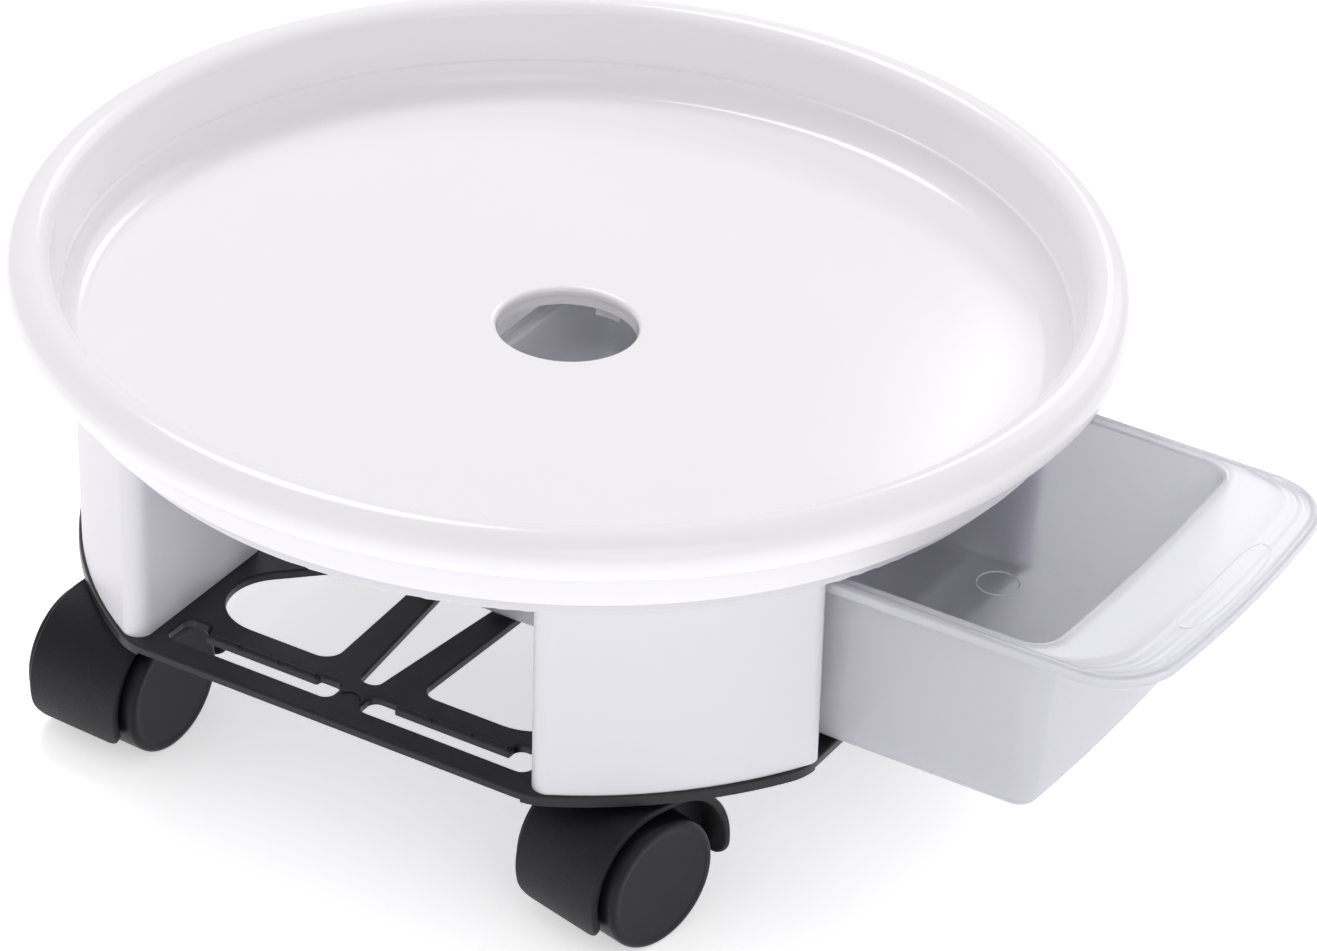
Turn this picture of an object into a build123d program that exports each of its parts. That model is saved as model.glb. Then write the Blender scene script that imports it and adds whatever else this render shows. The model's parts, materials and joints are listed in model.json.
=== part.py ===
from build123d import *
import os
from math import asin, cos, degrees, radians, sin, sqrt, tan

# A rolling plant caddy with a drip drawer, in millimetres.
# The origin is on the ground under the middle of the dish, +Z is up, and the
# drawer pulls out along +X. Front is +X and left is +Y.

# Casters
wheel_radius = 20.75
wheel_edge_radius = 1.8
wheel_rim_thickness = 2.6
wheel_disc_thickness = 2.4
wheel_inner_edge_radius = 0.87
wheel_width = 12.9
wheel_web_gap = 0.6            # from the hood's web to the wheel's inner edge
wheel_hub_wall = 3.0
wheel_rib_count = 8
wheel_rib_thickness = 1.4
wheel_rib_setback = 1.2        # from the wheel's inner edge to its ribs
wheel_cap = 3.2                # from the axle's end to the wheel's outer face
hub_setback = 0.4
axle_radius = 2.5
axle_chamfer = 0.4
axle_end_room = 0.5
running_gap = 0.05             # radial, between a pin and what turns on it
press_depth = 0.02             # radial, of a pin pressed into its hole
caster_trail = 15.8            # from the stem's axis back to the axle
hood_gap = 1.2                 # from the wheel to the hood, on the trailing side
hood_wall = 2.5
hood_stretch = 7.8             # extra length of the hood on the stem's side
hood_half_width = 16.5
hood_trail_end = 30.0          # degrees below the axle
hood_stem_end_drop = 6.4       # below the axle
hood_corner_radius = 5.0
hood_edge_radius = 0.8
web_half_width = 7.0
web_wall = 2.0
axle_boss_wall = 4.5
neck_wall = 2.5
neck_top_gap = 0.1
rest_turns = {"front_right": -14.2, "rear_right": -3.4, "front_left": -9.0, "rear_left": -6.0}

# Stems
stem_radius = 4.0
stem_flange_reach = 2.0
stem_chamfer = 0.8
stem_flange_thickness = 1.2
stem_depth_in_hood = 17.0
stem_reach_in_base = 25.0
snap_groove_depth = 0.4
snap_groove_height = 2.0
snap_groove_drop = 11.0        # from the flange down to the groove
snap_bead_gap = 0.1
grip_groove_start = 11.0       # above the base's underside
grip_groove_length = 8.0
grip_groove_depth = 0.7
grip_ring_gap = 0.1
grip_ring_slit = 1.2
socket_clearance = 1.0
socket_wall = 3.5
socket_room = 2.5
socket_roof = 3.0

# Base frame
hood_to_base = 1.4
corner_pad_depth = 0.9
base_thickness = 2.6
base_margin = -0.5             # from the leg's corner, before rounding, out to the base's edge
base_arc_margin = 1.0          # base edge beyond the leg's curved face
base_corner_radius = 20.0
outer_bar_width = 9.1
slot_width = 7.0
slot_end_notch = 2.0
slot_near_notch_length = 8.5
slot_far_notch = 5.4
slot_far_notch_length = 10.0
slot_corner_radius = 3.2
slot_notch_radius = 0.9
inner_bar_width = 10.8
bridge_half_width = 5.0
slot_leg_gap = 3.9             # from the slot's end to the leg
rib_outer_start = 15.5         # from the middle of a side to the outside of its rib
rib_outer_spread = 0.0426      # sideways per millimetre towards the centre
web_diagonal_half_width = 11.45
window_far_radius = 17.3
window_near_radius = 5.5
slit_start_half_width = 3.0
slit_start_depth = 4.2         # how far the slit runs into the inner bar
slit_spread = 0.1065
slit_corner_radius = 2.7
hub_radius = 34.0
hub_hole_radius = 14.0
slit_hub_gap = 2.0
hub_rib_thickness = 2.0
hub_rib_depth = 3.0
base_edge_radius = 0.8
locating_rib_height = 3.0
locating_rib_thickness = 1.5
locating_rib_gap = 0.3
stop_height = 8.0
stop_thickness = 3.0
stop_width = 7.0
stop_gap = 0.5
stop_root = 1.0                # sunk into the plate
stem_inset = 20.4              # from the leg's curved face to the stem's axis

# Screws from the base up into the legs
screw_radius = 2.0
screw_bite = 0.3
screw_clearance = 0.3
screw_head_radius = 3.8
screw_head_height = 2.4
screw_head_edge = 0.8
screw_tip_chamfer = 1.0
screw_length = 16.0
screw_cross = 1.0
screw_cross_reach = 2.3
screw_cross_depth = 1.3
screw_arc_inset = 9.35
screw_side_inset = 9.6
head_recess_gap = 0.5
head_recess_depth = 1.6
recess_wall = 1.8
recess_roof = 3.0
post_wall = 3.0
post_pilot_depth = 18.0

# Body shell
dish_radius = 170.0
leg_foot_inset = 23.6          # from the dish's outer edge in to a leg's foot
leg_draft = 2.3                # degrees, on a leg's curved face
leg_inner_depth_x = 21.7       # from the stem's axis to the leg's inner faces
leg_inner_depth_y = 23.1       # at the top: this face leans as the drawer's wall does
leg_height = 64.7
leg_wall = 2.5
leg_corner_radius = 4.8
top_plate = 2.6
body_rim_inset = 19.0          # from the dish's outer edge in to the body's rim
body_rim_wall = 2.6
body_rim_height = 1.9
body_rim_radius = 1.2
tongue_clearance = 0.6

# Dish
floor_thickness = 3.0
seat_rib_height = 2.0
seat_rib_thickness = 2.0
seat_rib_inner_radius = 42.0
seat_rib_middle_radius = 92.0
seat_rib_corner_gap = 8.5      # from the dish's round corner in to the last rib
seat_rib_count = 8
dish_depth = 28.0
rim_radius = 8.5
rim_inner_radius = 6.0
rim_wall = 2.6
rim_lip_share = 0.43           # of the rim's wall, rounded off each side of its lip
rim_hook_angle = 28.0
rim_inner_end_angle = 118.0
dish_wall_inset = 17.5         # from the outer edge in to the wall's foot
dish_corner_radius = 8.0
wall_step_height = 9.1
wall_step = 0.9
wall_step_rise = 0.4
band_bottom_inset = 13.6
band_bottom_drop = 1.0         # below the floor's top
band_thickness = 2.2
band_edge_radius = 0.5
drain_radius = 21.7
drain_lip_radius = 1.6
collar_wall = 2.5
collar_length = 5.8
tongue_thickness = 2.2
tongue_gap = 0.4               # from the collar to a tongue
tongue_length = 9.8            # from the floor's top
snap_hook_reach = 1.4
snap_hook_height = 1.6
snap_hook_gap = 0.2
snap_hook_width = 9.0
snap_hook_count = 4

# Drawer
drawer_pull = 64.5             # how far it is pulled out at rest
runner_height = 1.0            # of the runners that the drawer slides on
runner_width = 2.0
runner_inset = 1.6             # from a rib's outer side to its runner
runner_end_gap = 9.0
drawer_lift = 0.3              # above the runners
drawer_top_gap = 3.7
drawer_side_gap = 1.3
drawer_rim_width = 4.0
drawer_draft = 3.7             # degrees
drawer_wall = 1.8
drawer_floor = 1.8
drawer_front_gap = 4.5         # from the legs' edge to the front wall, pushed in
drawer_back_gap = 18.7         # from the rear windows' edge to the back wall, pushed in
drawer_bow = 1.9
drawer_corner_radius = 10.0
drawer_bottom_radius = 3.4
drawer_lip_drop = 4.0
drawer_lip_thickness = 1.6
drawer_lip_radius = 1.3
handle_reach = 33.0            # from the front wall to the handle's edge
handle_corner_radius = 22.0
handle_bow = 4.0
gate_ring_radius = 7.0
gate_ring_width = 0.5
gate_ring_height = 0.25
gate_ring_root = 0.1           # sunk into the floor
gate_ring_x = 70.0             # back from the front wall
gate_ring_side_gap = 11.5

# Heights, from the ground up
hood_inner_radius = wheel_radius + hood_gap
hood_outer_radius = hood_inner_radius + hood_wall
hood_top = wheel_radius + hood_outer_radius
base_bottom = hood_top + hood_to_base
base_plate_bottom = base_bottom + corner_pad_depth
base_top = base_plate_bottom + base_thickness
plate_bottom = base_top + leg_height
plate_top = plate_bottom + top_plate
floor_bottom = plate_top + seat_rib_height
floor_top = floor_bottom + floor_thickness
rim_top = floor_top + dish_depth
socket_top = base_bottom + stem_reach_in_base + socket_room
head_seat = base_bottom + screw_head_height + head_recess_depth
post_foot = head_seat + recess_roof

# Plan sizes
leg_foot_radius = dish_radius - leg_foot_inset
leg_slope = tan(radians(leg_draft))
stem_xy = (leg_foot_radius - stem_inset) / sqrt(2)
leg_inner_x = stem_xy - leg_inner_depth_x
leg_inner_y = stem_xy - leg_inner_depth_y
leg_corner_y = sqrt(leg_foot_radius**2 - leg_inner_x**2)
base_radius = leg_foot_radius + base_arc_margin
base_half_side = leg_corner_y + base_margin
slot_outer = base_half_side - outer_bar_width
bar_edge = slot_outer - slot_width - inner_bar_width
slot_end = leg_inner_x - slot_leg_gap
screw_near = leg_inner_x + screw_side_inset
screw_far = sqrt((leg_foot_radius - screw_arc_inset)**2 - screw_near**2)
collar_outer = drain_radius + collar_wall
tongue_inner = collar_outer + tongue_gap
tongue_outer = tongue_inner + tongue_thickness
plate_hole_radius = tongue_outer + tongue_clearance
drawer_bottom = base_top + runner_height + drawer_lift
drawer_top = plate_bottom - drawer_top_gap
drawer_height = drawer_top - drawer_bottom
drawer_taper = drawer_height * tan(radians(drawer_draft))
drawer_half_width = leg_inner_y - drawer_side_gap - drawer_rim_width
drawer_front = sqrt(leg_foot_radius**2 - leg_inner_y**2) + drawer_front_gap + drawer_pull
drawer_back = drawer_back_gap + drawer_pull - bar_edge

# Fits
wheel_inner_face = web_half_width + wheel_web_gap
wheel_outer_face = wheel_inner_face + wheel_width
axle_reach = wheel_outer_face - wheel_cap
wheel_hub_radius = axle_radius + wheel_hub_wall
axle_boss_radius = axle_radius + axle_boss_wall
neck_radius = stem_radius + neck_wall
stem_flange_radius = stem_radius + stem_flange_reach
grip_groove_radius = stem_radius - grip_groove_depth
socket_radius = stem_radius + socket_clearance
head_recess_radius = screw_head_radius + head_recess_gap
post_radius = screw_radius + post_wall

legs = [(1, 1), (-1, 1), (1, -1), (-1, -1)]
casters = {
    "front_right": (1, -1),
    "rear_right": (-1, -1),
    "front_left": (1, 1),
    "rear_left": (-1, 1),
}


def rod(radius, low, high, x=0.0, y=0.0):
    """A round bar standing between two heights."""
    return Pos(x, y, low) * extrude(Circle(radius), high - low)


def ring(inner, outer, low, high, x=0.0, y=0.0):
    """A tube standing between two heights."""
    return Pos(x, y, low) * extrude(Circle(outer) - Circle(inner), high - low)


def slab(outline, low, high):
    """A flat outline made solid between two heights."""
    return Pos(0, 0, low) * extrude(outline, high - low)


def block(x_low, x_high, y_low, y_high, z_low, z_high):
    """A square-cornered block between the given planes."""
    size = (x_high - x_low, y_high - y_low, z_high - z_low)
    middle = ((x_low + x_high) / 2, (y_low + y_high) / 2, (z_low + z_high) / 2)
    return Pos(*middle) * Box(*size)


def soften(outline, corners):
    """Round the named corners of a flat outline: each is a point and a radius."""
    for point, radius in corners:
        corner = outline.vertices().sort_by_distance((*point, 0))[0]
        outline = fillet(corner, radius)
    return outline


def save(shape, name):
    """Write one node as a STEP file."""
    export_step(shape, f"parts/{name}.step")


def at_corner(shape, corner):
    """Mirror a shape made for the front left leg to another leg."""
    if corner[0] < 0:
        shape = mirror(shape, Plane.YZ)
    if corner[1] < 0:
        shape = mirror(shape, Plane.XZ)
    return shape


# Dish


def dish_section():
    """Half of the dish's section, in radius and height."""
    rim_centre = (dish_radius - rim_radius, rim_top - rim_radius)
    wall_foot = dish_radius - dish_wall_inset
    corner = (wall_foot - dish_corner_radius, floor_top + dish_corner_radius)
    outer_corner = dish_corner_radius + floor_thickness
    throat = (rim_centre[0] - rim_inner_radius, rim_top - rim_inner_radius)
    step = (wall_foot, floor_top + wall_step_height)
    ledge = (step[0] + wall_step, step[1] + wall_step_rise)
    hook_inner = rim_radius - rim_wall
    hook = radians(rim_hook_angle)
    lip_out = (rim_centre[0] + rim_radius * cos(hook), rim_centre[1] - rim_radius * sin(hook))
    lip_in = (rim_centre[0] + hook_inner * cos(hook), rim_centre[1] - hook_inner * sin(hook))
    end = radians(rim_inner_end_angle)
    band_top = (rim_centre[0] + hook_inner * cos(end), rim_centre[1] + hook_inner * sin(end))
    band_foot = (dish_radius - band_bottom_inset, floor_top - band_bottom_drop)
    band_back = (band_foot[0] - band_thickness, band_foot[1])
    reach = band_back[0] - corner[0]
    groove = (band_back[0], corner[1] - sqrt(outer_corner**2 - reach**2))
    groove_angle = -degrees(asin((corner[1] - groove[1]) / outer_corner))
    edges = [
        Line((drain_radius, floor_top), (corner[0], floor_top)),
        CenterArc(corner, dish_corner_radius, -90, 90),
        Line((wall_foot, corner[1]), step),
        Line(step, ledge),
        Line(ledge, throat),
        CenterArc((rim_centre[0], throat[1]), rim_inner_radius, 90, 90),
        CenterArc(rim_centre, rim_radius, -rim_hook_angle, 90 + rim_hook_angle),
        Line(lip_out, lip_in),
        CenterArc(rim_centre, hook_inner, -rim_hook_angle, rim_inner_end_angle + rim_hook_angle),
        Line(band_top, band_foot),
        Line(band_foot, band_back),
        Line(band_back, groove),
        CenterArc(corner, outer_corner, -90, 90 + groove_angle),
        Line((corner[0], floor_bottom), (drain_radius, floor_bottom)),
        Line((drain_radius, floor_bottom), (drain_radius, floor_top)),
    ]
    outline = make_face(edges)
    corners = [
        ((drain_radius, floor_top), drain_lip_radius),
        (lip_out, rim_wall * rim_lip_share),
        (lip_in, rim_wall * rim_lip_share),
        (band_foot, band_edge_radius),
        (band_back, band_edge_radius),
    ]
    return soften(outline, corners)


def make_dish():
    """The dish, its seat ribs, its drain collar and the snap tongues around it."""
    dish = revolve(Plane.XZ * dish_section(), Axis.Z)
    half = seat_rib_thickness / 2
    last_rib = dish_radius - dish_wall_inset - dish_corner_radius - seat_rib_corner_gap
    for radius in (seat_rib_inner_radius, seat_rib_middle_radius, last_rib):
        dish += ring(radius - half, radius + half, plate_top, floor_bottom)
    spoke = block(seat_rib_inner_radius, last_rib, -half, half, plate_top, floor_bottom)
    for turn in range(seat_rib_count):
        dish += Rot(0, 0, turn * 360 / seat_rib_count) * spoke
    dish += ring(drain_radius, collar_outer, floor_top - collar_length, floor_bottom)
    tongue_bottom = floor_top - tongue_length
    hook_top = plate_bottom - snap_hook_gap
    tongue = ring(tongue_inner, tongue_outer, tongue_bottom, floor_bottom)
    tongue += ring(tongue_inner, tongue_outer + snap_hook_reach, hook_top - snap_hook_height, hook_top)
    half_hook = snap_hook_width / 2
    window = block(0, tongue_outer * 2, -half_hook, half_hook, tongue_bottom, floor_bottom)
    for turn in range(snap_hook_count):
        dish += Rot(0, 0, turn * 360 / snap_hook_count) * (tongue & window)
    return dish


# Body shell


def leg_solid(inset, low, high):
    """The space inside a front left leg's faces, moved in by an inset."""
    height = high - low
    low_radius = leg_foot_radius + (low - base_top) * leg_slope - inset
    cone = Pos(0, 0, (low + high) / 2) * Cone(low_radius, low_radius + height * leg_slope, height)
    reach = dish_radius * 2
    lean = tan(radians(drawer_draft))
    low_y = leg_inner_y + inset - (plate_bottom - low) * lean
    high_y = leg_inner_y + inset - (plate_bottom - high) * lean
    side = make_face(Polyline((low_y, low), (reach, low), (reach, high), (high_y, high), close=True))
    inner_x = leg_inner_x + inset
    leg = cone & Pos(inner_x, 0, 0) * extrude(Plane.YZ * side, reach)
    uprights = leg.edges().filter_by(lambda e: e.bounding_box().size.Z > height / 2)
    return fillet(uprights, leg_corner_radius - inset)


def screw_places():
    """Where the two screws of a front left leg stand."""
    return [(screw_near, screw_far), (screw_far, screw_near)]


def make_body_shell():
    """The top plate, its rim, and the four hollow legs with their screw posts."""
    rim_outer = dish_radius - body_rim_inset
    body = rod(rim_outer, plate_bottom, plate_top)
    body = fillet(body.edges().filter_by(GeomType.CIRCLE).sort_by(Axis.Z)[0], body_rim_radius)
    body += ring(rim_outer - body_rim_wall, rim_outer, plate_top - top_plate / 2, plate_top + body_rim_height)
    body -= rod(plate_hole_radius, plate_bottom, plate_top)
    leg = leg_solid(0, base_top, plate_bottom) - leg_solid(leg_wall, base_top, plate_bottom)
    for x, y in screw_places():
        leg += rod(post_radius, post_foot, plate_bottom, x, y)
        leg -= rod(screw_radius - screw_bite, post_foot, post_foot + post_pilot_depth, x, y)
    for corner in legs:
        body += at_corner(leg, corner)
    return body


# Base frame


def side_window():
    """The right-hand window beside the middle of the +Y side."""
    diagonal = web_diagonal_half_width * sqrt(2)
    far = (bar_edge - diagonal, bar_edge)
    near = (rib_outer_start, bar_edge)
    inner_x = (near[0] + rib_outer_spread * (bar_edge - diagonal)) / (1 + rib_outer_spread)
    inner = (inner_x, inner_x + diagonal)
    window = make_face(Polyline(near, far, inner, close=True))
    return soften(window, [(far, window_far_radius), (near, window_near_radius), (inner, window_near_radius)])


def side_slot():
    """The right-hand slot between the two bars of the +Y side."""
    outer = slot_outer
    inner = outer - slot_width
    near = bridge_half_width
    far = slot_end
    far_step = far - slot_far_notch_length
    near_step = near + slot_near_notch_length
    points = [
        (near, outer),
        (far, outer),
        (far, inner - slot_far_notch),
        (far_step, inner - slot_far_notch),
        (far_step, inner),
        (near_step, inner),
        (near_step, inner - slot_end_notch),
        (near, inner - slot_end_notch),
    ]
    slot = make_face(Polyline(*points, close=True))
    rounded = [points[0], points[1], points[2], points[3], points[7]]
    slot = soften(slot, [(point, slot_corner_radius) for point in rounded])
    return soften(slot, [(point, slot_notch_radius) for point in (points[5], points[6])])


def side_slit():
    """The narrow V between the two ribs of the +Y side."""
    start = bar_edge + slit_start_depth
    end = hub_radius + slit_hub_gap
    half = slit_start_half_width
    wide = half + slit_spread * (start - end)
    slit = make_face(Polyline((-half, start), (half, start), (wide, end), (-wide, end), close=True))
    corners = [((-half, start), slit_corner_radius), ((half, start), slit_corner_radius)]
    corners += [((-wide, end), window_near_radius), ((wide, end), window_near_radius)]
    return soften(slit, corners)


def base_outline():
    """The outer edge of the base: a square with its corners cut round."""
    outline = Circle(base_radius) & Rectangle(2 * base_half_side, 2 * base_half_side)
    return fillet(outline.vertices(), base_corner_radius)


def make_base_frame():
    """The base plate with its windows, corner pads, sockets, cups and stops."""
    plan = base_outline() - Circle(hub_hole_radius)
    for side in range(4):
        turn = Rot(0, 0, 90 * side)
        for cut in (side_window(), side_slot()):
            plan -= turn * cut
            plan -= turn * mirror(cut, Plane.YZ)
        plan -= turn * side_slit()
    base = slab(plan, base_plate_bottom, base_top)
    top_edges = base.faces().sort_by(Axis.Z)[-1].edges()
    base = fillet(top_edges, base_edge_radius)
    under = base_plate_bottom - hub_rib_depth
    for radius in (hub_hole_radius, hub_radius - hub_rib_thickness):
        base += ring(radius, radius + hub_rib_thickness, under, base_plate_bottom)

    pad_area = block(leg_inner_x, dish_radius, leg_inner_y, dish_radius, base_bottom, base_top - base_edge_radius)
    pad = slab(base_outline(), base_bottom, base_plate_bottom) & pad_area
    rib_low = leg_solid(leg_wall + locating_rib_gap, base_top, base_top + locating_rib_height)
    rib_inner = leg_wall + locating_rib_gap + locating_rib_thickness
    rib_hole = leg_solid(rib_inner, base_top, base_top + locating_rib_height)
    socket = rod(socket_radius + socket_wall, base_top, socket_top + socket_roof, stem_xy, stem_xy)
    corner_part = pad + (rib_low - rib_hole) + socket
    cups = screw_places()
    for x, y in cups:
        corner_part += rod(head_recess_radius + recess_wall, base_top, post_foot, x, y)
    for corner in legs:
        base += at_corner(corner_part, corner)

    holes = rod(socket_radius, base_bottom, socket_top, stem_xy, stem_xy)
    for x, y in cups:
        holes += rod(head_recess_radius, base_bottom, head_seat, x, y)
        holes += rod(screw_radius + screw_clearance, base_bottom, post_foot, x, y)
    for corner in legs:
        base -= at_corner(holes, corner)

    runner_y = rib_outer_start - runner_inset
    for side_x in (-1, 1):
        for side_y in (-1, 1):
            x_low, x_high = sorted((side_x * (hub_radius + slit_hub_gap), side_x * (bar_edge - runner_end_gap)))
            y_low, y_high = sorted((side_y * (runner_y - runner_width), side_y * runner_y))
            base += block(x_low, x_high, y_low, y_high, base_top - stop_root, base_top + runner_height)

    stop_x = drawer_back - drawer_pull + drawer_taper - stop_gap
    stop_y = rib_outer_start - stop_width
    for side in (-1, 1):
        low, high = sorted((side * stop_y, side * (stop_y + stop_width)))
        base += block(stop_x - stop_thickness, stop_x, low, high, base_top - stop_root, base_top + stop_height)
    return base


def make_base_screws():
    """Every base screw, each a solid of its own."""
    head_bottom = head_seat - screw_head_height
    screw = rod(screw_head_radius, head_bottom, head_seat)
    screw = fillet(screw.edges().sort_by(Axis.Z)[0], screw_head_edge)
    screw += rod(screw_radius, head_seat, head_seat + screw_length)
    screw = chamfer(screw.edges().sort_by(Axis.Z)[-1], screw_tip_chamfer)
    half = screw_cross / 2
    for x, y in ((screw_cross_reach, half), (half, screw_cross_reach)):
        screw -= block(-x, x, -y, y, head_bottom, head_bottom + screw_cross_depth)
    screws = []
    for corner in legs:
        for x, y in screw_places():
            screws.append(Pos(corner[0] * x, corner[1] * y, 0) * screw)
    return Compound(children=screws)


# Drawer


def tray_outline(inset, radius):
    """The drawer's wall seen from above, moved in from its rim size."""
    half = drawer_half_width - inset
    back = drawer_back + inset
    front = drawer_front - inset
    shoulder = front - drawer_bow
    edges = [
        Line((shoulder, half), (back, half)),
        Line((back, half), (back, -half)),
        Line((back, -half), (shoulder, -half)),
        ThreePointArc((shoulder, -half), (front, 0), (shoulder, half)),
    ]
    return fillet(make_face(edges).vertices(), radius)


def rim_outline(inset):
    """The drawer's rim and handle seen from above."""
    half = drawer_half_width + drawer_rim_width - inset
    back = drawer_back - drawer_rim_width + inset
    front = drawer_front + handle_reach - inset
    shoulder = front - handle_bow
    edges = [
        Line((shoulder, half), (back, half)),
        Line((back, half), (back, -half)),
        Line((back, -half), (shoulder, -half)),
        ThreePointArc((shoulder, -half), (front, 0), (shoulder, half)),
    ]
    corners = [((back, side * half), drawer_corner_radius - inset) for side in (-1, 1)]
    corners += [((shoulder, side * half), handle_corner_radius - inset) for side in (-1, 1)]
    return soften(make_face(edges), corners)


def make_drawer():
    """The tray, its rim with a turned-down lip, and its handle flange."""
    foot = tray_outline(drawer_taper, drawer_corner_radius - drawer_taper)
    tray = Pos(0, 0, drawer_bottom) * extrude(foot, drawer_height, taper=-drawer_draft)
    tray = fillet(tray.faces().sort_by(Axis.Z)[0].edges(), drawer_bottom_radius)
    floor_shift = drawer_wall + drawer_taper - drawer_floor * tan(radians(drawer_draft))
    cavity_foot = tray_outline(floor_shift, drawer_corner_radius - floor_shift)
    cavity_bottom = drawer_bottom + drawer_floor
    cavity = Pos(0, 0, cavity_bottom) * extrude(cavity_foot, drawer_height, taper=-drawer_draft)
    cavity = fillet(cavity.faces().sort_by(Axis.Z)[0].edges(), drawer_bottom_radius - drawer_wall / 2)
    rim = slab(rim_outline(0), drawer_top - drawer_lip_drop, drawer_top)
    rim = fillet(rim.faces().sort_by(Axis.Z)[-1].edges(), drawer_lip_radius)
    rim -= slab(rim_outline(drawer_lip_thickness), drawer_top - drawer_lip_drop, drawer_top - drawer_wall)
    drawer = tray + rim - cavity
    ring_x = drawer_front - gate_ring_x
    ring_y = drawer_half_width - drawer_taper - gate_ring_side_gap
    gate = ring(gate_ring_radius - gate_ring_width, gate_ring_radius, cavity_bottom - gate_ring_root,
                cavity_bottom + gate_ring_height, ring_x, ring_y)
    return drawer + gate


# Casters. Each is made at the origin with its stem on the Z axis, its axle
# along X and its wheels trailing towards -Y, and is then put in its place.


def hood_band(outer, inner):
    """The hood's side view as a curved band, in length and height from the stem."""
    axle = (-caster_trail, wheel_radius)
    far = (axle[0] + hood_stretch, wheel_radius)
    stem_end = -degrees(asin(hood_stem_end_drop / outer))
    trail_end = 180 + hood_trail_end
    edges = []
    for radius in (outer, inner):
        edges.append(CenterArc(axle, radius, 90, trail_end - 90))
        edges.append(Line((axle[0], axle[1] + radius), (far[0], far[1] + radius)))
        edges.append(CenterArc(far, radius, stem_end, 90 - stem_end))

    def on_circle(centre, radius, angle):
        turn = radians(angle)
        return (centre[0] + radius * cos(turn), centre[1] + radius * sin(turn))

    for centre, angle in ((axle, trail_end), (far, stem_end)):
        edges.append(Line(on_circle(centre, inner, angle), on_circle(centre, outer, angle)))
    return make_face(edges)


def hood_inside(radius):
    """The full area under the hood's curve, in length and height from the stem."""
    bottom = wheel_radius - hood_stem_end_drop
    shape = Pos(-caster_trail, wheel_radius) * Circle(radius)
    shape += Pos(hood_stretch - caster_trail, wheel_radius) * Circle(radius)
    middle = hood_stretch / 2 - caster_trail
    shape += Pos(middle, wheel_radius) * Rectangle(hood_stretch, 2 * radius)
    above = Pos(middle, bottom + 2 * radius) * Rectangle(8 * radius, 4 * radius)
    return shape & above


def across(outline, half_width):
    """A side view made solid to the same width both ways along the axle."""
    return extrude(Plane.YZ * outline, half_width, both=True)


def make_hood():
    """The hood shell, its hollow web, its axle boss and its neck."""
    shell = across(hood_band(hood_outer_radius, hood_inner_radius), hood_half_width)
    corners = shell.edges().filter_by(lambda e: abs(e.length - hood_wall) < 0.01)
    shell = fillet(corners, hood_corner_radius)
    shell = fillet(shell.edges(), hood_edge_radius)
    middle = hood_inner_radius + hood_wall / 2
    hood = shell + across(hood_inside(middle), web_half_width)
    hood -= across(hood_inside(hood_inner_radius - web_wall), web_half_width - web_wall)
    axle_boss = Pos(-caster_trail, wheel_radius) * Circle(axle_boss_radius)
    hood += across(axle_boss, web_half_width)
    neck_top = base_bottom - stem_flange_thickness - neck_top_gap
    neck_bottom = wheel_radius - hood_stem_end_drop
    hood += rod(neck_radius, neck_bottom, neck_top)
    stem_bottom = base_bottom - stem_flange_thickness - stem_depth_in_hood
    hood -= rod(stem_radius + running_gap, stem_bottom - axle_end_room, neck_top)
    bead_middle = base_bottom - stem_flange_thickness - snap_groove_drop
    bead_inner = stem_radius - snap_groove_depth + snap_bead_gap
    bead_half = snap_groove_height / 2 - snap_bead_gap
    hood += ring(bead_inner, neck_radius, bead_middle - bead_half, bead_middle + bead_half)
    axle_hole = Pos(-caster_trail, wheel_radius) * Circle(axle_radius - press_depth)
    return hood - across(axle_hole, web_half_width * 2)


def make_stem():
    """The stem, with its flange, its snap groove and its grip groove."""
    flange_bottom = base_bottom - stem_flange_thickness
    top = base_bottom + stem_reach_in_base
    stem = rod(stem_radius, flange_bottom - stem_depth_in_hood, top)
    stem = chamfer(stem.edges().filter_by(GeomType.CIRCLE), stem_chamfer)
    stem += rod(stem_flange_radius, flange_bottom, base_bottom)
    half = snap_groove_height / 2
    middle = flange_bottom - snap_groove_drop
    stem -= ring(stem_radius - snap_groove_depth, stem_radius * 2, middle - half, middle + half)
    groove = base_bottom + grip_groove_start
    return stem - ring(grip_groove_radius, stem_radius * 2, groove, groove + grip_groove_length)


def make_grip_ring():
    """The split spring ring that holds the stem in its socket."""
    low = base_bottom + grip_groove_start + grip_ring_gap
    high = low + grip_groove_length - 2 * grip_ring_gap
    grip = ring(grip_groove_radius + grip_ring_gap, socket_radius + press_depth, low, high)
    half = grip_ring_slit / 2
    return grip - block(0, socket_radius * 2, -half, half, low, high)


def make_axle():
    """The axle pin."""
    axle = across(Pos(-caster_trail, wheel_radius) * Circle(axle_radius), axle_reach)
    return chamfer(axle.edges().filter_by(GeomType.CIRCLE), axle_chamfer)


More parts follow.
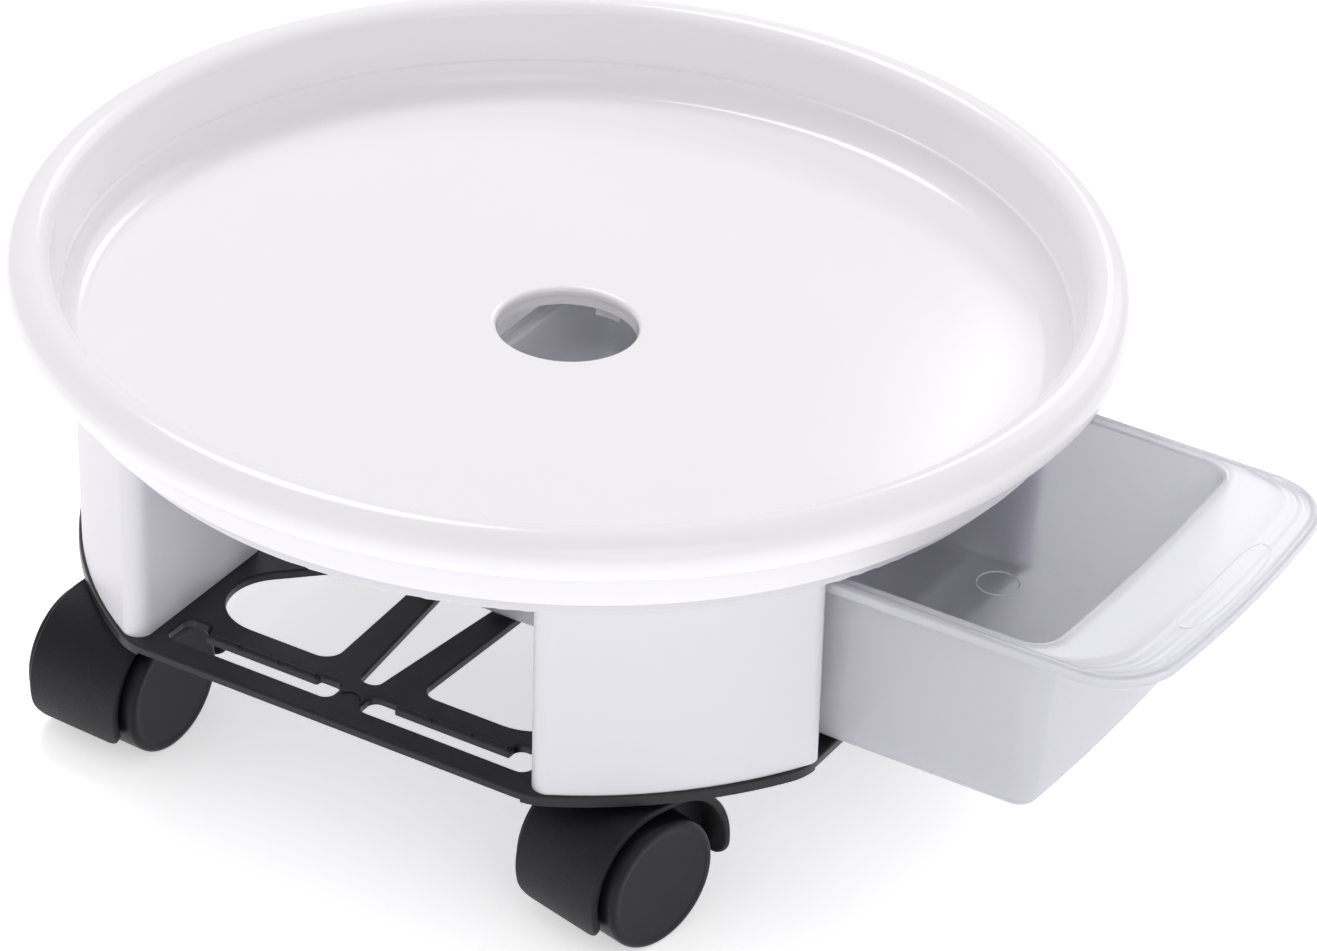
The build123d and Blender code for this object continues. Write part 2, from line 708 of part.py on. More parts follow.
def make_wheel():
    """The wheel on the +X end of the axle: a cup with a hub and ribs inside."""
    hub_face = wheel_inner_face + hub_setback
    disc = wheel_outer_face - wheel_disc_thickness
    rim_inner = wheel_radius - wheel_rim_thickness
    bore = axle_radius + running_gap
    bore_end = axle_reach + axle_end_room
    points = [
        (0, wheel_outer_face),
        (wheel_radius, wheel_outer_face),
        (wheel_radius, wheel_inner_face),
        (rim_inner, wheel_inner_face),
        (rim_inner, disc),
        (wheel_hub_radius, disc),
        (wheel_hub_radius, hub_face),
        (bore, hub_face),
        (bore, bore_end),
        (0, bore_end),
    ]
    section = make_face(Polyline(*points, close=True))
    section = soften(section, [(points[1], wheel_edge_radius), (points[2], wheel_inner_edge_radius)])
    wheel = revolve(Plane.XZ * section, Axis.Z)
    hub_middle = (bore + wheel_hub_radius) / 2
    rim_middle = wheel_radius - wheel_rim_thickness / 2
    half = wheel_rib_thickness / 2
    rib = block(hub_middle, rim_middle, -half, half, wheel_inner_face + wheel_rib_setback, disc)
    for turn in range(wheel_rib_count):
        wheel += Rot(0, 0, turn * 360 / wheel_rib_count) * rib
    return Pos(0, -caster_trail, wheel_radius) * Rot(0, 90, 0) * wheel


caster_pieces = {
    "hood": make_hood(),
    "stem": make_stem(),
    "grip_ring": make_grip_ring(),
    "axle": make_axle(),
    "outer_wheel": make_wheel(),
    "inner_wheel": mirror(make_wheel(), Plane.YZ),
}

os.makedirs("parts", exist_ok=True)

save(make_dish(), "dish")
save(make_body_shell(), "body_shell")
save(make_base_frame(), "base_frame")
save(make_base_screws(), "base_screws")
save(make_drawer(), "drawer")

for caster, (side_x, side_y) in casters.items():
    place = Pos(side_x * stem_xy, side_y * stem_xy, 0) * Rot(0, 0, rest_turns[caster])
    for piece, shape in caster_pieces.items():
        # The outer wheel is the one away from the middle of the caddy.
        swapped = side_x < 0 and piece.endswith("wheel")
        other = {"outer_wheel": "inner_wheel", "inner_wheel": "outer_wheel"}
        save(place * shape, f"{caster}_{other[piece] if swapped else piece}")

print("drawer travel", -drawer_pull, "heights", base_top, floor_top, rim_top)
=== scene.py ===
import bpy
import bmesh
import json
import math
from mathutils import Matrix, Vector


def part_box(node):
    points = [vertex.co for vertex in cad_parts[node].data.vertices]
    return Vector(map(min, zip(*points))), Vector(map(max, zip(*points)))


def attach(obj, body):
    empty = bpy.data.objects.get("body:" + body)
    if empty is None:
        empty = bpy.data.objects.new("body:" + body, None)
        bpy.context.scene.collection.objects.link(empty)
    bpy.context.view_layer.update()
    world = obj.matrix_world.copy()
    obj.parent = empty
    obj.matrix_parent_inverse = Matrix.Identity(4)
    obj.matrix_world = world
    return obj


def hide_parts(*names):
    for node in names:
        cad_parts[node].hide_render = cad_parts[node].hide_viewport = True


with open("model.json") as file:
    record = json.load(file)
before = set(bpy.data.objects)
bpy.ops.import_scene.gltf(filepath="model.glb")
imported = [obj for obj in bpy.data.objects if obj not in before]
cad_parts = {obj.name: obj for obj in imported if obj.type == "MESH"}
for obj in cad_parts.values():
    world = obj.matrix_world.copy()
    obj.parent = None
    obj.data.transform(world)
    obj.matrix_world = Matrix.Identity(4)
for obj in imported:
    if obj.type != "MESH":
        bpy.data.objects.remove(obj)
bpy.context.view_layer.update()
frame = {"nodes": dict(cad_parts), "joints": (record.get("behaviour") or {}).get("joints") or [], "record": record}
record = frame["record"]
nodes = frame["nodes"]
mm = 0.001
print("frame loaded")

look = {
    "azimuth": 30.5,  # degrees round the caddy, 0 looks along +Y
    "elevation": 31.57,
    "distance": 1.8834,
    "target": (0.0, 0.0, 0.0666),
    "lens": 167.57,
    "roll": 2.56,
    "aimRight": 0.0160,  # how far the view is turned right and down, as a slope
    "aimDown": -0.0008,
}


def makeCamera():
    az = math.radians(look["azimuth"])
    el = math.radians(look["elevation"])
    back = Vector((math.sin(az) * math.cos(el), -math.cos(az) * math.cos(el), math.sin(el)))
    place = Vector(look["target"]) + back * look["distance"]
    right = (-back).cross(Vector((0, 0, 1))).normalized()
    up = right.cross(-back)
    roll = math.radians(look["roll"])
    tiltedRight = right * math.cos(roll) + up * math.sin(roll)
    tiltedUp = up * math.cos(roll) - right * math.sin(roll)
    forward = (-back + tiltedRight * look["aimRight"] - tiltedUp * look["aimDown"]).normalized()
    newRight = (tiltedRight - forward * tiltedRight.dot(forward)).normalized()
    newUp = newRight.cross(forward)
    data = bpy.data.cameras.new("camera")
    data.lens = look["lens"]
    data.clip_start = 0.05
    data.clip_end = 20
    camera = bpy.data.objects.new("camera", data)
    turn = Matrix((newRight, newUp, -forward)).transposed().to_4x4()
    camera.matrix_world = Matrix.Translation(place) @ turn
    bpy.context.scene.collection.objects.link(camera)
    bpy.context.scene.camera = camera


studio = {
    "floorColor": (0.96, 0.96, 0.965, 1),
    "floorGlow": 0.52,
    "floorHalf": 6.0,
    "floorRoughness": 0.7,
    "aim": (0, 0, 0.08),  # where the lamps point
    "worldColor": (1.0, 0.985, 0.99, 1),
    "worldStrength": 0.67,
    "lamps": [  # name, place, size, strength in watts
        ("key", (-0.9, 0.6, 1.9), 0.8, 11),
        ("fill", (1.6, -1.4, 1.6), 1.6, 6),
        ("back", (0.4, 1.9, 1.3), 1.4, 4.5),
        ("window", (-0.4, 1.6, 1.2), 0.5, 2.6),
    ],
}


def makeStudio():
    mesh = bpy.data.meshes.new("floor")
    half = studio["floorHalf"]
    corners = [(-half, -half, 0), (half, -half, 0), (half, half, 0), (-half, half, 0)]
    mesh.from_pydata(corners, [], [(0, 1, 2, 3)])
    floor = bpy.data.objects.new("floor", mesh)
    bpy.context.scene.collection.objects.link(floor)
    paint = bpy.data.materials.new("floorPaint")
    paint.use_nodes = True
    shader = paint.node_tree.nodes["Principled BSDF"]
    shader.inputs["Base Color"].default_value = studio["floorColor"]
    shader.inputs["Roughness"].default_value = studio["floorRoughness"]
    shader.inputs["Emission Color"].default_value = studio["floorColor"]
    shader.inputs["Emission Strength"].default_value = studio["floorGlow"]
    mesh.materials.append(paint)
    world = bpy.data.worlds.new("studio")
    world.use_nodes = True
    sky = world.node_tree.nodes["Background"]
    sky.inputs["Color"].default_value = studio["worldColor"]
    sky.inputs["Strength"].default_value = studio["worldStrength"]
    bpy.context.scene.world = world
    for name, place, size, strength in studio["lamps"]:
        data = bpy.data.lights.new(name, "AREA")
        data.shape = "DISK"
        data.size = size
        data.energy = strength
        lamp = bpy.data.objects.new(name, data)
        lamp.location = place
        beam = Vector(studio["aim"]) - Vector(place)
        lamp.rotation_euler = beam.to_track_quat("-Z", "Y").to_euler()
        bpy.context.scene.collection.objects.link(lamp)
    bpy.context.scene.view_settings.view_transform = "Standard"


makeCamera()
makeStudio()
print("camera, light and floor made")


unevenness = {"scale": 18, "detail": 4, "glossiest": 0.85, "dullest": 1.15, "pitDepth": 0.25}


def newFinish(name, color, roughness, grain=0.0, grainSize=0.0006, mottle=0.02, shine=0.5):
    # moulded plastic: a fine moulded grain, and slight unevenness of gloss
    finish = bpy.data.materials.new(name)
    finish.use_nodes = True
    tree = finish.node_tree
    shader = tree.nodes["Principled BSDF"]
    place = tree.nodes.new("ShaderNodeTexCoord")
    cloud = tree.nodes.new("ShaderNodeTexNoise")
    cloud.inputs["Scale"].default_value = unevenness["scale"]
    cloud.inputs["Detail"].default_value = unevenness["detail"]
    tree.links.new(place.outputs["Object"], cloud.inputs["Vector"])
    tint = tree.nodes.new("ShaderNodeMix")
    tint.data_type = "RGBA"
    dark = [c * (1 - mottle) for c in color[:3]] + [1]
    tint.inputs["A"].default_value = dark
    tint.inputs["B"].default_value = (*color[:3], 1)
    tree.links.new(cloud.outputs["Fac"], tint.inputs["Factor"])
    tree.links.new(tint.outputs["Result"], shader.inputs["Base Color"])
    gloss = tree.nodes.new("ShaderNodeMapRange")
    gloss.inputs["To Min"].default_value = roughness * unevenness["glossiest"]
    gloss.inputs["To Max"].default_value = roughness * unevenness["dullest"]
    tree.links.new(cloud.outputs["Fac"], gloss.inputs["Value"])
    tree.links.new(gloss.outputs["Result"], shader.inputs["Roughness"])
    if grain > 0:
        pits = tree.nodes.new("ShaderNodeTexVoronoi")
        pits.inputs["Scale"].default_value = 1 / grainSize
        tree.links.new(place.outputs["Object"], pits.inputs["Vector"])
        bump = tree.nodes.new("ShaderNodeBump")
        bump.inputs["Strength"].default_value = grain
        bump.inputs["Distance"].default_value = grainSize * unevenness["pitDepth"]
        tree.links.new(pits.outputs["Distance"], bump.inputs["Height"])
        tree.links.new(bump.outputs["Normal"], shader.inputs["Normal"])
    shader.inputs["Specular IOR Level"].default_value = shine
    return finish


def newFrosted(name):
    # milky polypropylene: light soaks through it, and its skin keeps a soft gloss
    finish = newFinish(name, (0.84, 0.84, 0.89), 0.34, grain=0.08, grainSize=0.0011)
    shader = finish.node_tree.nodes["Principled BSDF"]
    shader.inputs["Transmission Weight"].default_value = 0.5
    shader.inputs["IOR"].default_value = 1.3
    shader.inputs["Coat Weight"].default_value = 0.35
    shader.inputs["Coat Roughness"].default_value = 0.12
    return finish


finishes = {
    "dish_white": newFinish("glossWhite", (0.905, 0.895, 0.922), 0.15),
    "body_white": newFinish("satinWhite", (0.745, 0.735, 0.785), 0.38),
    "base_black": newFinish("grainBlack", (0.006, 0.006, 0.009), 0.33,
                            grain=0.3, grainSize=0.00045, mottle=0.3, shine=0.44),
    "caster_black": newFinish("casterBlack", (0.006, 0.006, 0.009), 0.46,
                              grain=0.6, grainSize=0.0005, mottle=0.35, shine=0.28),
    "wheel_black": newFinish("wheelBlack", (0.0055, 0.0055, 0.0085), 0.4,
                             grain=0.25, grainSize=0.00045, mottle=0.3, shine=0.24),
    "drawer_frosted": newFrosted("frosted"),
    "steel": newFinish("zincSteel", (0.62, 0.62, 0.64), 0.3),
    "screw_steel": newFinish("screwSteel", (0.55, 0.55, 0.57), 0.32),
}
for key in ("steel", "screw_steel"):
    finishes[key].node_tree.nodes["Principled BSDF"].inputs["Metallic"].default_value = 1.0

finishFor = {entry["node"]: finishes[entry["material_slot"]] for entry in record["subparts"]}
for name, node in nodes.items():
    for place in node.material_slots:
        place.material = finishFor[name]
highlightedEdgeFinish = newFinish("frostedEdge", (0.93, 0.93, 0.95), 0.25)  # the drawer's mould lines: a little glossier than the drawer, and painted lighter and not see-through as a painted highlight, so they show as bright lines
print("finishes made")


def newTree(name, inputs):
    tree = bpy.data.node_groups.new(name, "GeometryNodeTree")
    tree.interface.new_socket("Geometry", in_out="INPUT", socket_type="NodeSocketGeometry")
    for label, kind in inputs:
        tree.interface.new_socket(label, in_out="INPUT", socket_type=kind)
    tree.interface.new_socket("Geometry", in_out="OUTPUT", socket_type="NodeSocketGeometry")
    return tree, tree.nodes.new("NodeGroupInput"), tree.nodes.new("NodeGroupOutput")


def addNode(tree, kind, fixed=None, linked=None):
    # fixed gives input values, linked gives the sockets that feed an input
    node = tree.nodes.new(kind)
    for label, value in (fixed or {}).items():
        node.inputs[label].default_value = value
    for label, socket in (linked or {}).items():
        tree.links.new(socket, node.inputs[label])
    return node


def barOf(tree, length, width, depth):
    # a straight bar of the given sizes, to be copied or to cut with
    size = addNode(tree, "ShaderNodeCombineXYZ", linked={"X": length, "Y": width, "Z": depth})
    return addNode(tree, "GeometryNodeMeshCube", linked={"Size": size.outputs[0]}).outputs["Mesh"]


def lifted(tree, shape, level):
    # the same shape at another height
    move = addNode(tree, "ShaderNodeCombineXYZ", linked={"Z": level})
    links = {"Geometry": shape, "Translation": move.outputs[0]}
    return addNode(tree, "GeometryNodeTransform", linked=links).outputs[0]


def ringOf(tree, shape, count, radius):
    # copies of one shape set round a circle, each turned to face out
    circle = addNode(tree, "GeometryNodeMeshCircle", linked={"Vertices": count, "Radius": radius})
    number = addNode(tree, "GeometryNodeInputIndex")
    step = addNode(tree, "ShaderNodeMath", {0: math.tau}, {1: count})
    step.operation = "DIVIDE"
    angle = addNode(tree, "ShaderNodeMath", linked={0: number.outputs[0], 1: step.outputs[0]})
    angle.operation = "MULTIPLY"
    turn = addNode(tree, "ShaderNodeCombineXYZ", linked={"Z": angle.outputs[0]})
    links = {"Points": circle.outputs["Mesh"], "Instance": shape, "Rotation": turn.outputs[0]}
    return addNode(tree, "GeometryNodeInstanceOnPoints", linked=links).outputs["Instances"]


def closeTree(tree, entry, out, shapes):
    # joins the shapes, makes the copies real and gives them their finish
    join = tree.nodes.new("GeometryNodeJoinGeometry")
    for shape in shapes:
        tree.links.new(shape, join.inputs[0])
    real = addNode(tree, "GeometryNodeRealizeInstances", linked={"Geometry": join.outputs[0]})
    links = {"Geometry": real.outputs[0], "Material": entry.outputs["Finish"]}
    paint = addNode(tree, "GeometryNodeSetMaterial", linked=links)
    tree.links.new(paint.outputs[0], out.inputs[0])


def sweepRound(tree, profile, radius, segments):
    # turns a section round the Z axis; the section is drawn out from the radius
    sizes = {"Radius": radius, "Resolution": segments}
    rail = addNode(tree, "GeometryNodeCurvePrimitiveCircle", linked=sizes)
    links = {"Curve": rail.outputs["Curve"], "Profile Curve": profile}
    return addNode(tree, "GeometryNodeCurveToMesh", linked=links).outputs["Mesh"]


def curveObject(name, lines, closed):
    data = bpy.data.curves.new(name, "CURVE")
    data.dimensions = "3D"
    for points in lines:
        spline = data.splines.new("POLY")
        spline.points.add(len(points) - 1)
        for point, place in zip(spline.points, points):
            point.co = (*place, 1)
        spline.use_cyclic_u = closed
    source = bpy.data.objects.new(name, data)
    bpy.context.scene.collection.objects.link(source)
    return source


def sectionObject(name, sections, middle, closed=True):
    # sections are lists of radius and height; the sweep turns height upside down
    lines = [[((r - middle) * mm, -z * mm, 0) for r, z in section] for section in sections]
    return curveObject(name, lines, closed)


def tidyMesh(mesh, sharpAngle=32):
    # merges the seams and poles, points the faces out and shades the curves smooth
    shape = bmesh.new()
    shape.from_mesh(mesh)
    bmesh.ops.remove_doubles(shape, verts=shape.verts, dist=2e-6)
    bmesh.ops.dissolve_degenerate(shape, edges=shape.edges, dist=1e-7)
    loose = [edge for edge in shape.edges if not edge.link_faces]
    bmesh.ops.delete(shape, geom=loose, context="EDGES")
    bmesh.ops.recalc_face_normals(shape, faces=shape.faces)
    shape.to_mesh(mesh)
    shape.free()
    mesh.polygons.foreach_set("use_smooth", [True] * len(mesh.polygons))
    mesh.set_sharp_from_angle(angle=math.radians(sharpAngle))


def growPiece(source, tree, values, name):
    # runs a tree on its source and keeps the result as a plain mesh
    growing = source.modifiers.new("grow", "NODES")
    growing.node_group = tree
    for item in tree.interface.items_tree:
        if item.in_out == "INPUT" and item.name in values:
            growing[item.identifier] = values[item.name]
    ready = source.evaluated_get(bpy.context.evaluated_depsgraph_get())
    mesh = bpy.data.meshes.new_from_object(ready)
    mesh.name = name
    mesh.materials.clear()
    mesh.materials.append(values["Finish"])
    mesh.polygons.foreach_set("material_index", [0] * len(mesh.polygons))
    bpy.data.objects.remove(source)
    tidyMesh(mesh)
    piece = bpy.data.objects.new(name, mesh)
    bpy.context.scene.collection.objects.link(piece)
    return piece


def arc(centre, radius, start, end, steps):
    # points along an arc, angles in degrees
    turns = [math.radians(start + (end - start) * i / steps) for i in range(steps + 1)]
    return [(centre[0] + radius * math.cos(t), centre[1] + radius * math.sin(t)) for t in turns]


def box(rLow, rHigh, zLow, zHigh):
    return [(rLow, zLow), (rHigh, zLow), (rHigh, zHigh), (rLow, zHigh)]


dish = {  # millimetres, heights measured down from the rim's top
    "rimRadius": 8.5,
    "rimWall": 2.6,
    "throatRadius": 6.0,
    "hookAngle": 28,
    "depth": 28.0,
    "floorThickness": 3.0,
    "wallInset": 17.5,
    "cornerRadius": 8.0,
    "stepHeight": 9.1,
    "step": 0.9,
    "stepRise": 0.4,
    "bandInset": 13.6,
    "bandDrop": 1.0,
    "bandThickness": 2.2,
    "drainRadius": 21.7,
    "drainLip": 1.6,
    "collarWall": 2.5,
    "collarLength": 5.8,
    "ribHeight": 2.0,
    "ribRadii": (42.0, 92.0, 136.0),
    "ribThickness": 2.0,
    "spokes": 8,
    "tongues": 4,
    "tongueGap": 0.4,
    "tongueThickness": 2.2,
    "tongueLength": 9.8,
    "tongueWidth": 9.0,
    "hookReach": 1.4,
    "hookHeight": 1.6,
    "hookBelowPlate": 0.2,
    "plate": 2.6,
    "bandEdge": 0.5,
    "sink": 0.2,  # how far the ribs, collar and tongues run up into the floor
    "hookRoot": 0.3,  # how far a hook runs into its tongue
    "segments": 256,
}


def dishSection(outer, top):
    d = dish
    floorTop = top - d["depth"]
    floorBottom = floorTop - d["floorThickness"]
    rimCentre = (outer - d["rimRadius"], top - d["rimRadius"])
    wallFoot = outer - d["wallInset"]
    corner = (wallFoot - d["cornerRadius"], floorTop + d["cornerRadius"])
    outerCorner = d["cornerRadius"] + d["floorThickness"]
    inner = d["rimRadius"] - d["rimWall"]
    bandFoot = (outer - d["bandInset"], floorTop - d["bandDrop"])
    bandBack = bandFoot[0] - d["bandThickness"]
    reach = bandBack - corner[0]
    grooveDrop = math.sqrt(outerCorner**2 - reach**2)
    grooveAngle = -math.degrees(math.asin(grooveDrop / outerCorner))
    lip = d["drainLip"]
    hook = math.radians(d["hookAngle"])
    lipMiddle = (d["rimRadius"] + inner) / 2
    lipCentre = (rimCentre[0] + lipMiddle * math.cos(hook), rimCentre[1] - lipMiddle * math.sin(hook))
    edge = d["bandEdge"]
    points = arc((d["drainRadius"] + lip, floorTop - lip), lip, 180, 90, 8)
    points += [(d["drainRadius"] + (corner[0] - d["drainRadius"]) * i / 8, floorTop) for i in range(2, 8)]
    points += arc(corner, d["cornerRadius"], -90, 0, 12)
    points += [(wallFoot, floorTop + d["stepHeight"] - 0.25), (wallFoot + 0.1, floorTop + d["stepHeight"])]
    points += [(wallFoot + d["step"] - 0.1, floorTop + d["stepHeight"] + d["stepRise"])]
    points += [(wallFoot + d["step"], floorTop + d["stepHeight"] + d["stepRise"] + 0.25)]
    points += arc((rimCentre[0], top - d["throatRadius"]), d["throatRadius"], 178, 92, 12)
    points += arc(rimCentre, d["rimRadius"], 90, -d["hookAngle"], 22)
    points += arc(lipCentre, (d["rimRadius"] - inner) / 2, -d["hookAngle"], -d["hookAngle"] - 180, 8)[1:-1]
    points += arc(rimCentre, inner, -d["hookAngle"], 118, 20)
    points += [(bandFoot[0], bandFoot[1] + edge)]
    points += arc((bandFoot[0] - edge, bandFoot[1] + edge), edge, 0, -90, 4)[1:]
    points += arc((bandBack + edge, bandFoot[1] + edge), edge, -90, -180, 4)
    points += arc(corner, outerCorner, grooveAngle, -90, 10)
    points += [(d["drainRadius"], floorBottom)]
    return points


def dishTree():
    sizes = ["Drain Radius", "Spoke Middle", "Spoke Length", "Rib Thickness", "Rib Height", "Rib Level"]
    sizes += ["Tongue Radius", "Tongue Thickness", "Tongue Length", "Tongue Level"]
    sizes += ["Tongue Sweep", "Tongue Start", "Hook Reach", "Hook Height", "Hook Level", "Hook Radius"]
    inputs = [(label, "NodeSocketFloat") for label in sizes]
    inputs += [("Segments", "NodeSocketInt"), ("Spokes", "NodeSocketInt"), ("Tongues", "NodeSocketInt")]
    inputs += [("No Radius", "NodeSocketFloat"), ("Finish", "NodeSocketMaterial")]
    tree, entry, out = newTree("turnedDish", inputs)
    value = entry.outputs
    bowl = sweepRound(tree, value["Geometry"], value["Drain Radius"], value["Segments"])

    spoke = barOf(tree, value["Spoke Length"], value["Rib Thickness"], value["Rib Height"])
    spokes = ringOf(tree, spoke, value["Spokes"], value["Spoke Middle"])
    shapes = [bowl, lifted(tree, spokes, value["Rib Level"])]
    for radius, width, height, place in (
        ("Tongue Radius", "Tongue Thickness", "Tongue Length", "Tongue Level"),
        ("Hook Radius", "Hook Reach", "Hook Height", "Hook Level"),
    ):
        rail = addNode(tree, "GeometryNodeCurveArc", {"Resolution": 9},
                       {"Radius": value[radius], "Start Angle": value["Tongue Start"],
                        "Sweep Angle": value["Tongue Sweep"]})
        section = addNode(tree, "GeometryNodeCurvePrimitiveQuadrilateral",
                          linked={"Width": value[width], "Height": value[height]})
        tongue = addNode(tree, "GeometryNodeCurveToMesh", {"Fill Caps": True},
                         {"Curve": rail.outputs["Curve"], "Profile Curve": section.outputs["Curve"]})
        ring = ringOf(tree, tongue.outputs["Mesh"], value["Tongues"], value["No Radius"])
        shapes.append(lifted(tree, ring, value[place]))
    closeTree(tree, entry, out, shapes)
    return tree


def makeDish():
    d = dish
    low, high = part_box("dish")
    outer, top = high.x / mm, high.z / mm
    floorTop = top - d["depth"]
    floorBottom = floorTop - d["floorThickness"]
    plateTop = floorBottom - d["ribHeight"]
    half = d["ribThickness"] / 2
    sections = [dishSection(outer, top)]
    sections += [box(r - half, r + half, plateTop, floorBottom + d["sink"]) for r in d["ribRadii"]]
    collarOuter = d["drainRadius"] + d["collarWall"]
    root = floorBottom + d["sink"]
    sections.append(box(d["drainRadius"], collarOuter, floorTop - d["collarLength"], root))
    tongueIn = collarOuter + d["tongueGap"]
    tongueOut = tongueIn + d["tongueThickness"]
    tongueRadius = (tongueIn + tongueOut) / 2
    tongueLow = low.z / mm
    hookTop = plateTop - d["plate"] - d["hookBelowPlate"]
    sweep = 2 * math.asin(d["tongueWidth"] / 2 / tongueRadius)
    source = sectionObject("dishSection", sections, d["drainRadius"])
    values = {
        "Drain Radius": d["drainRadius"] * mm,
        "Spoke Middle": (d["ribRadii"][0] + d["ribRadii"][2]) / 2 * mm,
        "Spoke Length": (d["ribRadii"][2] - d["ribRadii"][0]) * mm,
        "Rib Thickness": d["ribThickness"] * mm,
        "Rib Height": (root - plateTop) * mm,
        "Rib Level": (root + plateTop) / 2 * mm,
        "Tongue Radius": tongueRadius * mm,
        "Tongue Thickness": d["tongueThickness"] * mm,
        "Tongue Length": (root - tongueLow) * mm,
        "Tongue Level": (root + tongueLow) / 2 * mm,
        "Tongue Sweep": sweep,
        "Tongue Start": -sweep / 2,
        "Hook Reach": (d["hookReach"] + d["hookRoot"]) * mm,
        "Hook Height": d["hookHeight"] * mm,
        "Hook Level": (hookTop - d["hookHeight"] / 2) * mm,
        "Hook Radius": (tongueOut + (d["hookReach"] - d["hookRoot"]) / 2) * mm,
        "No Radius": 0.0,
        "Segments": d["segments"],
        "Spokes": d["spokes"],
        "Tongues": d["tongues"],
        "Finish": finishFor["dish"],
    }
    piece = growPiece(source, dishTree(), values, "glossDish")
    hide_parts("dish")
    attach(piece, "caddy")


makeDish()
print("dish made")


wheel = {  # millimetres; heights run along the axle, out from the hood's middle
    "innerFace": 7.6,
    "outerFace": 20.5,
    "edgeRadius": 1.8,
    "innerEdgeRadius": 0.87,
    "rimThickness": 2.6,
    "discThickness": 2.4,
    "hubRadius": 5.5,
    "hubSetback": 0.4,
    "bore": 2.55,
    "boreEnd": 17.8,
    "ribs": 8,
    "ribThickness": 1.4,
    "ribSetback": 1.2,
    "faceDip": 0.12,  # how far the outer face is sunk inside its rim
    "faceRadius": 17.8,
    "ribSink": 0.2,  # how far the ribs run into the disc
    "segments": 96,
}


def wheelSection(radius):
    w = wheel
    disc = w["outerFace"] - w["discThickness"]
    inner = radius - w["rimThickness"]
    edge, small, dip = w["edgeRadius"], w["innerEdgeRadius"], w["faceDip"]
    points = [(0, w["outerFace"] - dip), (w["faceRadius"] - 0.9, w["outerFace"] - dip)]
    points += [(w["faceRadius"] - 0.3, w["outerFace"] - dip * 0.85)]
    points += [(w["faceRadius"], w["outerFace"] - dip * 0.4)]
    points += [(w["faceRadius"] + 0.35, w["outerFace"])]
    points += arc((radius - edge, w["outerFace"] - edge), edge, 90, 0, 8)
    points += arc((radius - small, w["innerFace"] + small), small, 0, -90, 5)
    points += [(inner + 0.3, w["innerFace"]), (inner, w["innerFace"] + 0.3), (inner, disc - 0.5)]
    points += [(inner - 0.5, disc), (w["hubRadius"] + 0.5, disc), (w["hubRadius"], disc - 0.5)]
    hubFace = w["innerFace"] + w["hubSetback"]
    points += [(w["hubRadius"], hubFace), (w["bore"], hubFace)]
    points += [(w["bore"], w["boreEnd"]), (0, w["boreEnd"])]
    return points


def wheelTree():
    sizes = ["Radius", "Rib Middle", "Rib Length", "Rib Thickness", "Rib Depth", "Rib Level"]
    inputs = [(label, "NodeSocketFloat") for label in sizes]
    inputs += [("Segments", "NodeSocketInt"), ("Ribs", "NodeSocketInt"), ("Finish", "NodeSocketMaterial")]
    tree, entry, out = newTree("turnedWheel", inputs)
    value = entry.outputs
    tyre = sweepRound(tree, value["Geometry"], value["Radius"], value["Segments"])
    rib = barOf(tree, value["Rib Length"], value["Rib Thickness"], value["Rib Depth"])
    ribs = ringOf(tree, rib, value["Ribs"], value["Rib Middle"])
    closeTree(tree, entry, out, [tyre, lifted(tree, ribs, value["Rib Level"])])
    return tree


def makeWheels():
    w = wheel
    tree = wheelTree()
    for joint in frame["joints"]:
        if not joint["name"].endswith("wheel_spin"):
            continue
        node = joint["name"].replace("_spin", "")
        low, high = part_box(node)
        radius = (high.z - low.z) / 2 / mm
        hub = Vector(joint["pos_m"])
        axis = Vector(joint["axis"]).normalized()
        if ((low + high) / 2 - hub).dot(axis) < 0:
            axis = -axis
        disc = w["outerFace"] - w["discThickness"]
        ribLow = w["innerFace"] + w["ribSetback"]
        ribIn, ribOut = (w["bore"] + w["hubRadius"]) / 2, radius - w["rimThickness"] / 2
        # the section runs along the axle, so its poles merge there
        source = sectionObject(node + "Section", [wheelSection(radius)], radius)
        values = {
            "Radius": radius * mm,
            "Rib Middle": (ribIn + ribOut) / 2 * mm,
            "Rib Length": (ribOut - ribIn) * mm,
            "Rib Thickness": w["ribThickness"] * mm,
            "Rib Depth": (disc + w["ribSink"] - ribLow) * mm,
            "Rib Level": (disc + w["ribSink"] + ribLow) / 2 * mm,
            "Segments": w["segments"],
            "Ribs": w["ribs"],
            "Finish": finishFor[node],
        }
        piece = growPiece(source, tree, values, node + "_turned")
        side = Vector((0, 0, 1)).cross(axis)
        turn = Matrix((side.cross(axis) * -1, side, axis)).transposed().to_4x4()
        if turn.determinant() < 0:
            turn = Matrix((side.cross(axis), side, axis)).transposed().to_4x4()
        piece.data.transform(Matrix.Translation(hub) @ turn)
        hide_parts(node)
        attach(piece, joint["child"])


makeWheels()
print("wheels made")


screw = {  # millimetres
    "headRadius": 3.8,
    "headHeight": 2.4,
    "headEdge": 0.8,
    "shankRadius": 2.0,
    "tipChamfer": 1.0,
    "cross": 1.0,
    "crossReach": 2.3,
    "crossDepth": 1.3,
    "near": 77.0,  # from the middle, along the side that the screw is nearer to
    "threadPitch": 1.6,
    "threadDepth": 0.25,
    "segments": 32,
}


